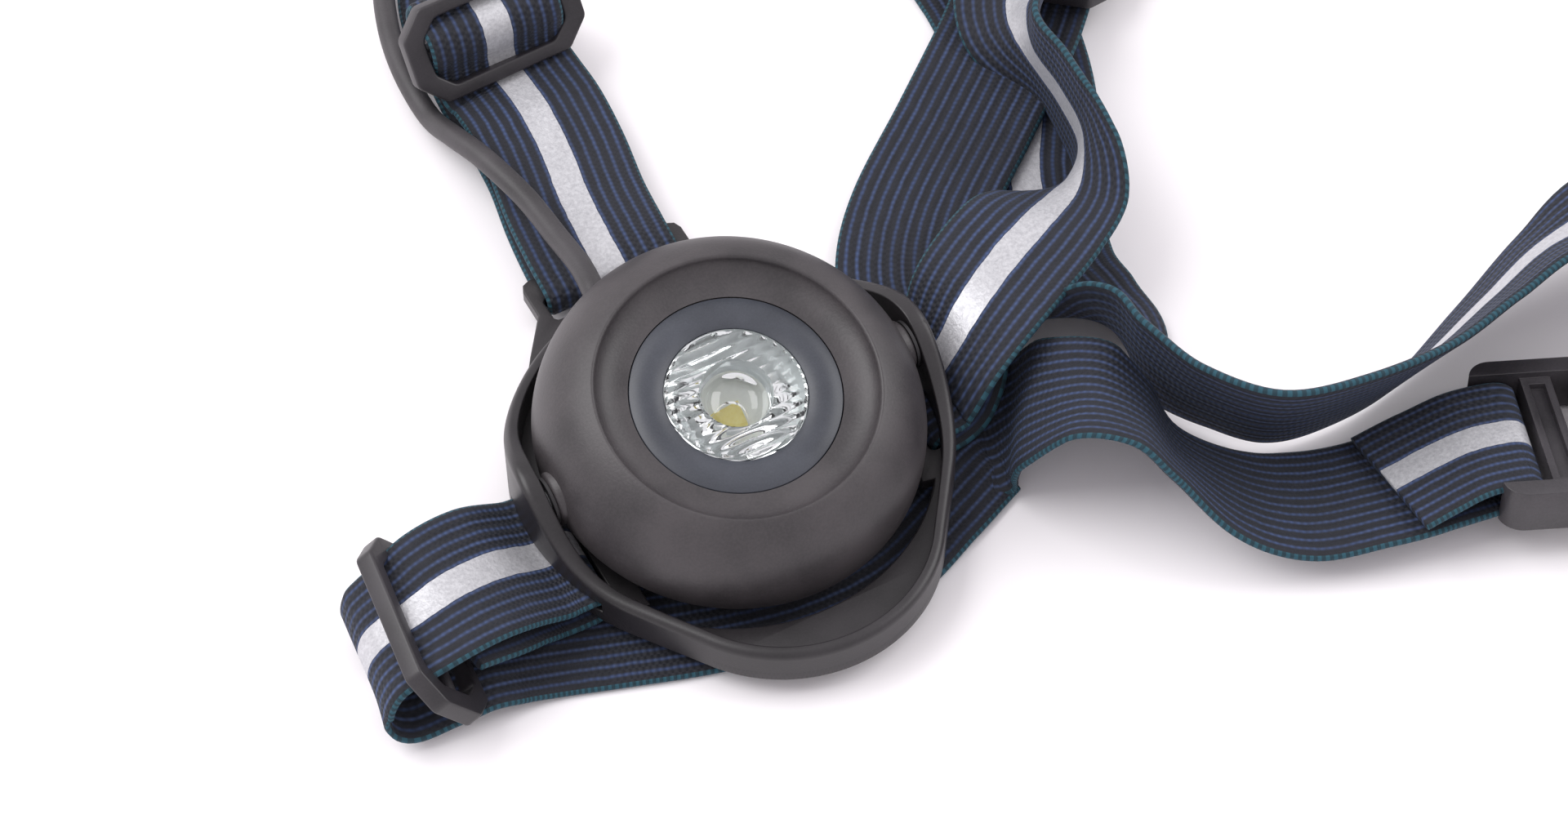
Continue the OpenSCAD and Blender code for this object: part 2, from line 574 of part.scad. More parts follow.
module pack_cover() {
    color("#3a3739") in_pack() difference() {
        translate([0, 0, split_h + gasket_t])
            rounded_block(pack_l, pack_w, pack_h - split_h - gasket_t, 6);
        translate([0, 0, split_h])
            rounded_block(pack_l - 2 * pack_wall, pack_w - 2 * pack_wall,
                          pack_h - split_h - pack_wall, 6 - pack_wall);
        translate([button_x, 0, 0]) cylinder(r = button_r + 0.15, h = pack_h + 1);
        translate([light_x, 0, 0]) cylinder(r = 1.55, h = pack_h + 1);
        at_posts() cylinder(r = 1.1, h = pack_h + 1);
        cable_way();
    }
}

module pack_gasket() {
    color("#1c1b1d") in_pack() difference() {
        translate([0, 0, split_h + 0.1])
            rounded_block(pack_l - 0.6, pack_w - 0.6, gasket_t - 0.2, 5.7);
        rounded_block(pack_l - 2 * pack_wall, pack_w - 2 * pack_wall, pack_h, 6 - pack_wall);
        cable_way();
    }
}

cell_r = 5.4;
cell_l = 44;

module battery_cells() {
    color("#3f6fa8") in_pack() for (y = [-1, 1])
        translate([-cell_l / 2, y * (cell_r + 0.4), pack_wall + cell_r + 0.2]) rotate([0, 90, 0]) {
            cylinder(r = cell_r, h = cell_l);
            translate([0, 0, cell_l]) cylinder(r = 1.9, h = 1);
        }
}

module battery_contacts() {
    color("#c9ccd0") in_pack() for (x = [-cell_l / 2 - 1.1, cell_l / 2 + 1.3])
        translate([x - 0.25, -cell_r * 1.6, pack_wall + 0.1]) cube([0.5, cell_r * 3.2, 9]);
}

module control_board() {
    color("#2f6b3c") in_pack() translate([-24, -12, split_h + 2]) cube([50, 24, 1.2]);
}

module tact_switch() {
    color("#1a1a1a") in_pack() translate([button_x, 0, split_h + 3.3]) {
        translate([-2, -2, 0]) cube([4, 4, 1.2]);
        translate([0, 0, 1.2]) cylinder(r = 1, h = 0.3);
    }
}

button_z = split_h + 5;

module power_button() {
    color("#45464b") in_pack() translate([button_x, 0, 0]) {
        translate([0, 0, button_z + 0.9]) cylinder(r = button_r, h = pack_h + 1 - button_z - 0.9);
        translate([0, 0, button_z + 0.4]) cylinder(r = button_r + 0.8, h = 1);
    }
}

module charge_port() {
    color("#b9bdc1") in_pack() translate([port_x - 4.5, pack_w / 2 - 8, 4.8]) difference() {
        cube([9, 7.2, 3.2]);
        translate([0.5, 1, 0.5]) cube([8, 7, 2.2]);
    }
}

flap_z = 10;                              // height of the flap's hinge line

module port_flap() {
    color("#1c1b1d") in_pack() translate([port_x - 6.5, pack_w / 2 + 0.9, 0]) {
        translate([0, -0.6, 4]) cube([13, 1.2, flap_z - 4]);
        translate([0, 0, flap_z]) rotate([0, 90, 0]) cylinder(r = 0.6, h = 13);
    }
}

module status_light() {
    color("#9fe0a8") in_pack() translate([light_x, 0, split_h + 3.4])
        cylinder(r = 1.4, h = pack_h - split_h - 3.4);
}

module pack_screws() {
    color("#9a9ca0") in_pack() at_posts() translate([0, 0, pack_h + 0.1]) screw(1, 2, pack_h - 5);
}

module pack_strain_relief() {
    color("#242225") in_pack() translate([-pack_l / 2 - 5, cable_y, cable_z]) rotate([0, 90, 0])
        ring(3, cable_d / 2, 9);
}

front_plate();
pivot_pins();
friction_washers();
lamp_shell();
face_ring();
lens();
lens_seal();
lens_holder();
led_emitter();
led_board();
heat_sink();
lamp_back();
lamp_screws();
lamp_strain_relief();
cable();
strap_top();
strap_right();
strap_left();
strap_back();
slide_top();
slide_right();
slide_left();
buckle_socket();
buckle_plug();
buckle_latch_near();
buckle_latch_far();
pack_base();
pack_cover();
pack_gasket();
battery_cells();
battery_contacts();
control_board();
tact_switch();
power_button();
charge_port();
port_flap();
status_light();
pack_screws();
pack_strain_relief();
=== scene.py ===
# A strap-mounted headlamp: a tilting lamp in a moulded plate, a webbing harness with slides and a
# side-release buckle, and a battery pack joined to the lamp by a cable. Rides on the CAD bodies.
import math

import bmesh
import bpy
import numpy as np
from mathutils import Matrix, Vector


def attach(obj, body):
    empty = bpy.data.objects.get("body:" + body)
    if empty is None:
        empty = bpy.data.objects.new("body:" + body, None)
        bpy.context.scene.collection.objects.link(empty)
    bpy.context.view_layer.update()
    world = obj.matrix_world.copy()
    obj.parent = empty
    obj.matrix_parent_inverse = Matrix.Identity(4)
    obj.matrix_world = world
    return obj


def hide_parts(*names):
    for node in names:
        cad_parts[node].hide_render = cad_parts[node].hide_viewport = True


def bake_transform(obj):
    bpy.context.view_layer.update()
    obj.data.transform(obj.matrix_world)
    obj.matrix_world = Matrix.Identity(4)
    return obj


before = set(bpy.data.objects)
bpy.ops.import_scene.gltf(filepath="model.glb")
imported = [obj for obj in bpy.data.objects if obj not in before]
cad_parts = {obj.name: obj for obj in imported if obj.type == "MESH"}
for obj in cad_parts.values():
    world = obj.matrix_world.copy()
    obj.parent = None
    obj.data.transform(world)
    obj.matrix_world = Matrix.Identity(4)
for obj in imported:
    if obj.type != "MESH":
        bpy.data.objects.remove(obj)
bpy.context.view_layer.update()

MM = 0.001

# ---- Camera --------------------------------------------------------------------------------
# A short telephoto above the table's near left, looking down at the lamp's face.
lens_mm, sensor_mm = 85, 36
camera = bpy.data.cameras.new("camera")
camera.lens, camera.sensor_width = lens_mm, sensor_mm
camera_object = bpy.data.objects.new("camera", camera)
camera_object.location = (-0.1599, -0.3127, 0.4985)
camera_object.rotation_euler = (math.radians(36), 0, math.radians(-28.5))
bpy.context.scene.collection.objects.link(camera_object)
bpy.context.scene.camera = camera_object
bpy.context.scene.view_settings.view_transform = "Standard"

# ---- Lamp cable ----------------------------------------------------------------------------
# A round two-core cable in soft dark-grey rubber, moulded round its wires. It runs from the
# strain relief under the lamp, beside the top strap, into the end of the battery pack.


def srgb(code):
    """The linear colour of an sRGB hex value."""
    parts = [int(code[i:i + 2], 16) / 255 for i in (0, 2, 4)]
    return tuple(c / 12.92 if c <= 0.04045 else ((c + 0.055) / 1.055) ** 2.4 for c in parts) + (1,)


def add(material, kind, links=(), **settings):
    """A node with its properties and inputs set; links are pairs of an input and what feeds it."""
    node = material.node_tree.nodes.new(kind)
    for key, value in settings.items():
        setattr(node, key, value)
    for key, value in links:
        if isinstance(value, bpy.types.NodeSocket):
            material.node_tree.links.new(value, node.inputs[key])
        else:
            node.inputs[key].default_value = value
    return node


def new_material(name):
    """An empty node material with its output node, and the shader that feeds it."""
    material = bpy.data.materials.new(name)
    material.use_nodes = True
    material.node_tree.nodes.clear()
    shader = add(material, "ShaderNodeBsdfPrincipled")
    add(material, "ShaderNodeOutputMaterial", [("Surface", shader.outputs[0])])
    return material, shader


def moulded(name, dark, light, rough, grain, depth, ior=1.5, spread=0.08):
    """A moulded plastic or rubber with a fine grain; grain is its size and depth its height, in mm."""
    material, shader = new_material(name)
    place = add(material, "ShaderNodeTexCoord").outputs["Object"]
    fine = add(material, "ShaderNodeTexNoise", [("Vector", place), ("Scale", 1 / (grain * MM)),
                                                ("Detail", 2.0), ("Roughness", 0.5)])
    broad = add(material, "ShaderNodeTexNoise", [("Vector", place), ("Scale", 90.0),
                                                 ("Detail", 3.0)])
    tone = add(material, "ShaderNodeMapRange", [("Value", broad.outputs[0]), ("From Min", 0.3),
                                                ("From Max", 0.7)])
    speck = add(material, "ShaderNodeMapRange", [("Value", fine.outputs[0]), ("From Min", 0.35),
                                                 ("From Max", 0.75), ("To Min", -0.12),
                                                 ("To Max", 0.3)])
    both = add(material, "ShaderNodeMath", [(0, tone.outputs[0]), (1, speck.outputs[0])],
               operation="ADD", use_clamp=True)
    colour = add(material, "ShaderNodeMix", [("Factor", both.outputs[0]), (6, srgb(dark)),
                                             (7, srgb(light))], data_type="RGBA")
    gloss = add(material, "ShaderNodeMapRange", [("Value", broad.outputs[0]),
                                                 ("To Min", rough - spread),
                                                 ("To Max", rough + spread)])
    bump = add(material, "ShaderNodeBump", [("Height", fine.outputs[0]), ("Strength", 0.6),
                                            ("Distance", depth * MM)])
    links = material.node_tree.links
    links.new(colour.outputs[2], shader.inputs["Base Color"])
    links.new(gloss.outputs[0], shader.inputs["Roughness"])
    links.new(bump.outputs[0], shader.inputs["Normal"])
    shader.inputs["IOR"].default_value = ior
    return material


def piece_from(name, points, faces, material, body, smooth=True):
    """A mesh piece from points in metres that rides on a body."""
    mesh = bpy.data.meshes.new(name)
    mesh.from_pydata([tuple(p) for p in points], [], [tuple(f) for f in faces])
    mesh.materials.append(material)
    mesh.update()
    mesh.polygons.foreach_set("use_smooth", [smooth] * len(mesh.polygons))
    made = bpy.data.objects.new(name, mesh)
    bpy.context.scene.collection.objects.link(made)
    if body:
        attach(made, body)
    return made


def on_curve(rows, steps):
    """Rows with the same number of steps in each span, on one smooth curve through them."""
    p = np.array(rows, float)
    last = len(p) - 1
    found = []
    for i in range(last):
        a, b, c, d = p[max(i - 1, 0)], p[i], p[i + 1], p[min(i + 2, last)]
        for k in range(steps):
            t = k / steps
            found.append(0.5 * (2 * b + (c - a) * t + (2 * a - 5 * b + 4 * c - d) * t ** 2
                                + (3 * b - a - 3 * c + d) * t ** 3))
    return np.array(found + [p[last]])


def unit(v):
    return v / np.linalg.norm(v, axis=-1, keepdims=True)


def headings(spots):
    """The direction of travel at each point of a line."""
    ahead = np.vstack([spots[1:], spots[-1:]])
    behind = np.vstack([spots[:1], spots[:-1]])
    return unit(ahead - behind)


def skin_faces(rings, n, capped=True):
    """Quads round the rings of n points each, with a face at each end."""
    faces = [(i * n + k, i * n + (k + 1) % n, (i + 1) * n + (k + 1) % n, (i + 1) * n + k)
             for i in range(rings - 1) for k in range(n)]
    if capped:
        faces += [tuple(range(n - 1, -1, -1)), tuple((rings - 1) * n + k for k in range(n))]
    return faces


cable_route = [
    (-8, 27.1, 12.5), (-8, 32, 13.4), (-7, 40, 12), (-7, 49, 10), (-7.5, 61, 8.4),
    (-9.5, 73, 7), (-11.2, 82, 4.5), (-11.8, 90, 1), (-11.8, 98, 0.6), (-11, 106, 0.6),
    (-9.2, 114, 0.6), (-6, 123, 0.6), (0, 136, 0.6), (12, 149, 1), (29, 160, 3), (46, 158, 6),
    (57, 149.4, 7.4), (63.5, 145.7, 7.4)]
cable_diameter = 4 * MM
cable_sides, cable_steps = 24, 8

cable_rubber = moulded("cable rubber, extruded thermoplastic elastomer", "2c2a2c", "3f3c3f",
                       0.5, 0.3, 0.03)
cable_spots = on_curve(cable_route, cable_steps) * MM
cable_t = headings(cable_spots)
cable_u = unit(np.cross(cable_t, (0, 0, 1)))
cable_v = np.cross(cable_u, cable_t)
turn = np.arange(cable_sides) * 2 * math.pi / cable_sides
cable_points = (cable_spots[:, None] + (np.cos(turn)[None, :, None] * cable_u[:, None]
                + np.sin(turn)[None, :, None] * cable_v[:, None]) * cable_diameter / 2)
cable = piece_from("lamp_cable", cable_points.reshape(-1, 3),
                   skin_faces(len(cable_spots), cable_sides), cable_rubber, None)
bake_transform(cable)
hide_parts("cable")

# ---- Webbing straps ------------------------------------------------------------------------
# Four lengths of 25 mm elastic webbing, woven in near-black navy with pale blue pin lines, teal
# edges and a bonded strip of silver glass-bead tape along the face side.
web_half, web_thick = 12.5, 1.6
line_pitch = 1.95                # distance between the pale pin lines, in mm like all of these
weft_pitch = 1.1                 # length of one float and its gap, drawn at twice the real length
stripe_half = 2.6                # half the width of the silver strip
edge_from = 12.05                # where the teal edge cords start, from the middle

top_rows = [
    (3.2, 97.4, 11, 0, 0), (3.3, 98, 6.5, 0, 0), (3.4, 96, 1.5, 0, 0), (3.6, 91, -1, -2, 0),
    (4, 84, -1.8, -5, 0), (3.4, 72, -2, -8, 0), (1.4, 60, -1.8, -8, 0), (0.2, 50, -1.2, -2, 0),
    (0, 44.8, -1.2, 0, 0), (0, 42.8, -0.3, 0, 0), (0, 42.3, 1.25, 0, 0), (0, 42.8, 2.8, 0, 0),
    (0, 44.8, 3.7, 0, 0), (0.2, 50, 4.2, -4, 0), (1.4, 60, 3.2, -8, 0), (3.3, 71, 2.8, -7, 0),
    (4.2, 81, 3, -4, 0), (4, 88.5, 3, -1, 0), (3.4, 92, 4.2, 0, 0), (3.3, 93, 8, 0, 0),
    (3.2, 92.6, 12.6, 0, 0), (3.2, 94.4, 15.6, 0, 0), (3.2, 98, 16, 0, 0),
    (3.3, 101.6, 16.8, 0, 0), (3.6, 104.4, 13, 0, 0), (4.2, 106.5, 6, 0, 0),
    (5.2, 110, 0, -4, 0), (8, 118, -2.4, -16, 0), (14, 128, -2.8, -30, 0),
    (24, 138, -2.9, -52, 0), (37, 146.5, -2.9, -78, 0), (53.7, 146.4, -2.9, -118.5, 0),
    (61.4, 142.2, -2.9, -118.5, 0), (63.4, 141.1, -1.8, -118.5, 0),
    (63.7, 140.9, 0, -118.5, 0), (62.8, 141.4, 2.3, -118.5, 0), (60.2, 142.8, 2.8, -118.5, 0),
    (56.8, 144.7, 0.6, -118.5, 0), (53.3, 146.6, -0.9, -118.5, 0)]

right_rows = [
    (98.5, 70, 1.4, -42, 0), (94, 65.5, -0.5, -45, 0), (87.5, 59.5, -1.1, -48, 0),
    (71, 46, -1.1, -51, 2), (55, 33, -1.1, -49, 2), (46, 22, -1.1, -36, 0),
    (42.3, 11, -0.6, -30, 3), (39.8, 2, -0.2, -58, 9), (36.5, -1.4, -1, -84, 0),
    (32.8, -2, -1.2, -90, 0), (31, -2, -0.3, -90, 0), (30.5, -2, 1.25, -90, 0),
    (31, -2, 2.8, -90, 0), (32.8, -2, 3.7, -90, 0), (36.5, -1.8, 3.8, -88, 2),
    (40, -1.4, 7.2, -82, 16), (47, 2.2, 12, -70, 8), (55.5, 6.8, 13, -64, 3),
    (64, 11, 12.6, -59, 6), (72.3, 15.3, 10.6, -51, 24), (78, 19.4, 10, -40, 62),
    (82.8, 26, 10, -27, 88), (84.4, 35.5, 10.2, -20, 94), (85, 45.5, 10, -19, 94),
    (87.4, 54.5, 9.2, -27, 58), (91.6, 61.4, 6.8, -37, 16), (96, 67.2, 5.4, -40, 2),
    (101.2, 73.4, 5.6, -40, 0), (108, 77.5, 6.5, -48, 4), (118, 78.5, 8, -72, 34),
    (130, 78.5, 8.9, -88, 66), (144, 77, 9.3, -88, 88), (157, 78, 9.4, -62, 88),
    (164.5, 83.5, 9, -6, 78), (161.5, 89, 7.2, 48, 52), (154.5, 92, 3.4, 60, 26),
    (147, 95.6, -0.2, 61.5, 7), (140, 99.4, -2.6, 61.5, 0), (134, 102.9, -2.9, 61.5, 0),
    (128.6, 105.8, -2.9, 61.5, 0), (126.6, 106.9, -1.8, 61.5, 0), (126.3, 107.1, 0, 61.5, 0),
    (127.2, 106.6, 2.3, 61.5, 0), (129.8, 105.2, 2.8, 61.5, 0), (133.2, 103.3, 0.6, 61.5, 0),
    (136.7, 101.4, -0.9, 61.5, 0)]

left_rows = [
    (-57, -8.2, 8.2, -88, -2), (-51.5, -7, 6, -87, -4), (-45, -5, 1.8, -88, 0),
    (-40, -4, -0.8, -88, 0), (-36.2, -4, -1.2, -90, 0), (-32.8, -4, -1.2, -90, 0),
    (-31, -4, -0.3, -90, 0), (-30.5, -4, 1.25, -90, 0), (-31, -4, 2.8, -90, 0),
    (-32.8, -4, 3.7, -90, 0), (-37.4, -4, 3.8, -90, 0), (-45, -5, 8, -83, -6),
    (-53.5, -7, 11, -79, -2), (-61, -8.5, 10.4, -84, 7), (-65.6, -8.5, 9, -94, 7),
    (-68.6, -8.5, 6.2, -95, 7), (-69.3, -9, 2, -97, 8), (-65.5, -10.5, -0.8, -103, -2),
    (-59, -11.2, 0.6, -97, -6), (-53.5, -11.6, 0.6, -96, -2), (-47, -11.9, -1.7, -100, 0),
    (-39.5, -13.4, -2.9, -107, 0), (-30, -16.5, -3.1, -108, 0), (-16, -21, -3.1, -103, 0),
    (-2, -24, -3.1, -95, 0), (12, -23.6, -3, -89, 0), (25, -18.5, -2.8, -88, 0),
    (37, -13.4, -2.9, -100, 0), (41.5, -13.8, -2.6, -108, 0), (45, -15.2, 1, -122, -8),
    (47, -18, 8, -128, -4), (53.5, -24.5, 14.6, -132, 14), (59, -31, 13, -127, 28),
    (62.5, -37.5, 6.8, -122, 33), (70, -46.5, 1.6, -125, 20), (78.5, -52, -0.2, -118, 11),
    (89, -55.6, 0.7, -114, 12), (98, -57, 0.5, -113, 12), (106, -58.4, 0.6, -113, 12),
    (112.4, -60, 1.1, -114, 12), (114.6, -60.7, 2, -114, 12), (115.2, -60.7, 3.4, -114, 12),
    (114.9, -60.3, 4.9, -114, 12), (112.8, -59.2, 5.7, -114, 12), (106, -57.5, 5.6, -112, 12),
    (99, -56.7, 4.2, -109, 12), (91.6, -56.4, 2.8, -106, 12)]

back_rows = [
    (174, -86.1, 6.2, -114, 12), (167.2, -83.2, 5.9, -114, 12), (164.6, -82.3, 5.1, -114, 12),
    (163.9, -82.3, 3.4, -114, 12), (164.3, -83, 1.6, -114, 12), (166.8, -84.2, 1, -114, 12),
    (171.8, -86.6, 0.9, -113, 12), (179, -88.5, 3.6, -108, 24), (185.5, -83.5, 8, -96, 56),
    (186.5, -72, 10, -80, 80), (180, -57, 11, -88, 80), (169, -43, 13, -110, 54),
    (154.5, -35, 14, -106, 14), (138, -34, 12.8, -98, 44), (123, -37.5, 9.8, -92, 56),
    (107, -42, 8.6, -82, 65), (91.8, -43, 9.6, -95, 70), (79, -40.4, 10.2, -118, 72),
    (71.3, -31, 9.8, -134, 74), (67.6, -21, 9.2, -150, 80), (67.4, -13, 7.4, -170, 76),
    (68, -5, 3.4, -184, 30), (67.4, 4, -1.2, -194, 2), (68.2, 14, -3, -206, 0),
    (75.4, 32, -3.1, -220, 0), (84, 45.6, -3.1, -216, 0), (89, 58.5, -3.1, -202, 0),
    (91, 70, -3.1, -190, 0), (91.6, 79, -2.9, -200, 0), (92.8, 86.5, -2.9, -208.5, 0),
    (97, 94.3, -2.9, -208.5, 0), (98.1, 96.2, -1.8, -208.5, 0), (98.3, 96.5, 0, -208.5, 0),
    (97.8, 95.6, 2.3, -208.5, 0), (96.4, 93, 2.8, -208.5, 0), (94.5, 89.6, 0.6, -208.5, 0),
    (92.6, 86.1, -0.9, -208.5, 0)]


def woven(name):
    """The webbing: warp cords with dashed pin lines, teal edges, and the silver strip on its face."""
    material, shader = new_material(name)

    def maths(operation, a, b=0.0, clamp=False):
        return add(material, "ShaderNodeMath", [(0, a), (1, b)], operation=operation,
                   use_clamp=clamp).outputs[0]

    def mixed(factor, a, b):
        return add(material, "ShaderNodeMix", [("Factor", factor), (6, a), (7, b)],
                   data_type="RGBA").outputs[2]

    place = add(material, "ShaderNodeTexCoord").outputs["Object"]
    weave = add(material, "ShaderNodeUVMap", uv_map="weave").outputs[0]
    split = add(material, "ShaderNodeSeparateXYZ", [(0, weave)])
    across, along = split.outputs[0], split.outputs[1]
    face = add(material, "ShaderNodeAttribute", attribute_name="face_side").outputs["Fac"]
    wobble = add(material, "ShaderNodeTexNoise", [("Vector", place), ("Scale", 420.0),
                                                  ("Detail", 2.0)]).outputs[0]
    broad = add(material, "ShaderNodeTexNoise", [("Vector", place), ("Scale", 60.0),
                                                 ("Detail", 3.0)]).outputs[0]
    side = maths("ABSOLUTE", across)
    bent = maths("ADD", side, maths("MULTIPLY", maths("SUBTRACT", wobble, 0.5), 0.35))
    column = maths("DIVIDE", bent, line_pitch)
    number = maths("FLOOR", column)
    middle = maths("ABSOLUTE", maths("SUBTRACT", maths("FRACT", column), 0.5))
    shifted = maths("ADD", maths("DIVIDE", along, weft_pitch), maths("MULTIPLY", number, 0.5))
    float_wave = maths("ABSOLUTE", maths("SUBTRACT", maths("FRACT", shifted), 0.5))
    soft_line = maths("SUBTRACT", 1.0, maths("DIVIDE", middle, 0.24), True)
    floats = maths("ADD", 0.55, maths("MULTIPLY", float_wave, 0.9))
    line = maths("MULTIPLY", soft_line, floats)
    fade = maths("MULTIPLY", line, maths("ADD", maths("MULTIPLY", broad, 1.1), 0.25), True)
    base = mixed(wobble, srgb("0c0d13"), srgb("1d1f29"))
    lined = mixed(fade, base, srgb("3d4f78"))
    edge = maths("GREATER_THAN", side, edge_from)
    edge_tone = mixed(maths("GREATER_THAN", float_wave, 0.25), srgb("11303b"), srgb("1f4a58"))
    cloth = mixed(edge, lined, edge_tone)
    strip = maths("MULTIPLY", maths("LESS_THAN", bent, stripe_half),
                  maths("GREATER_THAN", face, 0.5))
    crackle = add(material, "ShaderNodeTexNoise", [("Vector", place), ("Scale", 1500.0),
                                                   ("Detail", 3.0), ("Roughness", 0.7)]).outputs[0]
    silver = mixed(crackle, srgb("8d8d92"), srgb("dcdcdf"))
    coloured = mixed(strip, cloth, silver)
    cord_height = maths("MULTIPLY", maths("COSINE", maths("MULTIPLY", column, 2 * math.pi * 1.5)), 0.5)
    weft_height = maths("COSINE", maths("MULTIPLY", shifted, 2 * math.pi))
    threads = maths("ADD", maths("ADD", cord_height, weft_height), maths("MULTIPLY", wobble, 1.2))
    tape = maths("ADD", maths("MULTIPLY", crackle, 1.6), 1.2)
    height = add(material, "ShaderNodeMix", [("Factor", strip), (2, threads), (3, tape)],
                 data_type="FLOAT").outputs[0]
    bump = add(material, "ShaderNodeBump", [("Height", height), ("Strength", 0.55),
                                            ("Distance", 0.12 * MM)])
    rough = maths("SUBTRACT", 0.82, maths("MULTIPLY", strip, 0.42))
    metal = maths("MULTIPLY", strip, 0.35)
    links = material.node_tree.links
    links.new(coloured, shader.inputs["Base Color"])
    links.new(bump.outputs[0], shader.inputs["Normal"])
    links.new(rough, shader.inputs["Roughness"])
    links.new(metal, shader.inputs["Metallic"])
    shader.inputs["Sheen Weight"].default_value = 0.08
    shader.inputs["Sheen Roughness"].default_value = 0.5
    shader.inputs["Sheen Tint"].default_value = srgb("8fa3c4")
    return material


webbing_cloth = woven("elastic webbing, woven polyester with reflective tape")


def strap(name, rows, face_sign, node, steps=10, cells=26):
    """A strap along rows of x, y, z and the azimuth and elevation of its width, in mm and degrees."""
    fine = on_curve(rows, steps)
    spots = fine[:, :3]
    azimuth, elevation = np.radians(fine[:, 3]), np.radians(fine[:, 4])
    w = np.stack([np.cos(elevation) * np.cos(azimuth), np.cos(elevation) * np.sin(azimuth),
                  np.sin(elevation)], 1)
    t = headings(spots)
    w = unit(w - (w * t).sum(1, keepdims=True) * t)
    n = np.cross(t, w)
    run = np.concatenate([[0], np.cumsum(np.linalg.norm(np.diff(spots, axis=0), axis=1))])
    reach = np.linspace(-1, 1, cells + 1)
    reach = np.sign(reach) * np.abs(reach) ** 0.9
    round_off = web_thick / 2 * np.sqrt(np.clip(1 - np.clip((np.abs(reach) * web_half
                - web_half + 0.7) / 0.75, 0, 1) ** 2, 0.02, 1))
    section = [(c * web_half, h) for c, h in zip(reach, round_off)]
    section += [(c * web_half, -h) for c, h in zip(reach[::-1], round_off[::-1])]
    section = np.array(section)
    points = (spots[:, None] + section[None, :, 0:1] * w[:, None]
              + section[None, :, 1:2] * n[:, None]) * MM
    rings, sides = points.shape[:2]
    made = piece_from(name, points.reshape(-1, 3), skin_faces(rings, sides), webbing_cloth,
                      "harness")
    layer = made.data.uv_layers.new(name="weave")
    tops = np.tile(np.sign(section[:, 1]) * face_sign, rings)
    ring_of = np.repeat(np.arange(rings), sides)
    flat_across = np.tile(section[:, 0], rings)
    corner = np.zeros(len(made.data.loops), int)
    made.data.loops.foreach_get("vertex_index", corner)
    uv = np.stack([flat_across[corner], run[ring_of[corner]]], 1)
    layer.data.foreach_set("uv", uv.reshape(-1).astype(np.float32))
    mark = made.data.attributes.new("face_side", "FLOAT", "POINT")
    mark.data.foreach_set("value", np.clip(tops, 0, 1).astype(np.float32))
    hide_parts(node)
    return made


strap("webbing_top", top_rows, -1, "strap_top")
strap("webbing_right", right_rows, -1, "strap_right")
strap("webbing_left", left_rows, 1, "strap_left")
strap("webbing_back", back_rows, 1, "strap_back")

# ---- Slides --------------------------------------------------------------------------------
# Three moulded nylon slides with cut corners. The webbing turns round the bar in the middle of
# each one and comes back out over its long side.
slide_long, slide_wide, slide_thick = 33.5, 18, 3.2
slide_hole_long, slide_hole_wide = 25.8, 12.8

nylon = moulded("slide nylon, injection moulded", "211f22", "302d31", 0.42, 0.35, 0.02)


def flat_solid(loops, bottom, top, edge):
    """A plate between two heights with rounded edges: its outline, then its holes, in mm."""
    curve = bpy.data.curves.new("outline", "CURVE")
    curve.dimensions = "2D"
    curve.fill_mode = "BOTH"
    curve.extrude = ((top - bottom) / 2 - edge) * MM
    curve.bevel_depth = edge * MM
    curve.bevel_resolution = 3
    curve.offset = -edge * MM
    for loop in loops:
        line = curve.splines.new("POLY")
        line.points.add(len(loop) - 1)
        line.use_cyclic_u = True
        for spot, (x, y) in zip(line.points, loop):
            spot.co = (x * MM, y * MM, 0, 1)
    holder = bpy.data.objects.new("outline", curve)
    bpy.context.scene.collection.objects.link(holder)
    bpy.context.view_layer.update()
    mesh = bpy.data.meshes.new_from_object(holder.evaluated_get(
        bpy.context.evaluated_depsgraph_get()))
    bpy.data.objects.remove(holder)
    bpy.data.curves.remove(curve)
    mesh.transform(Matrix.Translation((0, 0, (top + bottom) / 2 * MM)))
    return mesh


def cut_corners(length, width, cut, soft=0.8):
    """A rectangle with its corners cut off and softened, anticlockwise, in mm."""
    x, y = length / 2, width / 2
    corners = [(x, -y + cut), (x, y - cut), (x - cut, y), (-x + cut, y), (-x, y - cut),
               (-x, -y + cut), (-x + cut, -y), (x - cut, -y)]
    found = []
    for i, c in enumerate(corners):
        a, b = Vector(corners[i - 1]), Vector(corners[(i + 1) % 8])
        c = Vector(c)
        start, end = c + (a - c).normalized() * soft, c + (b - c).normalized() * soft
        for k in range(5):
            s = k / 4
            found.append(tuple(start * (1 - s) ** 2 + c * 2 * s * (1 - s) + end * s ** 2))
    return found


def joined(name, meshes, place, material, body, sharp=40):
    """One piece of several meshes, moved to its place, with edges sharper than the angle kept."""
    gathered = bmesh.new()
    for mesh in meshes:
        gathered.from_mesh(mesh)
    bmesh.ops.remove_doubles(gathered, verts=gathered.verts, dist=0.002 * MM)
    bmesh.ops.recalc_face_normals(gathered, faces=gathered.faces)
    bmesh.ops.transform(gathered, matrix=place, verts=gathered.verts)
    mesh = bpy.data.meshes.new(name)
    gathered.to_mesh(mesh)
    gathered.free()
    mesh.materials.clear()
    mesh.materials.append(material)
    mesh.polygons.foreach_set("material_index", [0] * len(mesh.polygons))
    mesh.polygons.foreach_set("use_smooth", [True] * len(mesh.polygons))
    mesh.set_sharp_from_angle(angle=math.radians(sharp))
    made = bpy.data.objects.new(name, mesh)
    bpy.context.scene.collection.objects.link(made)
    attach(made, body)
    return made


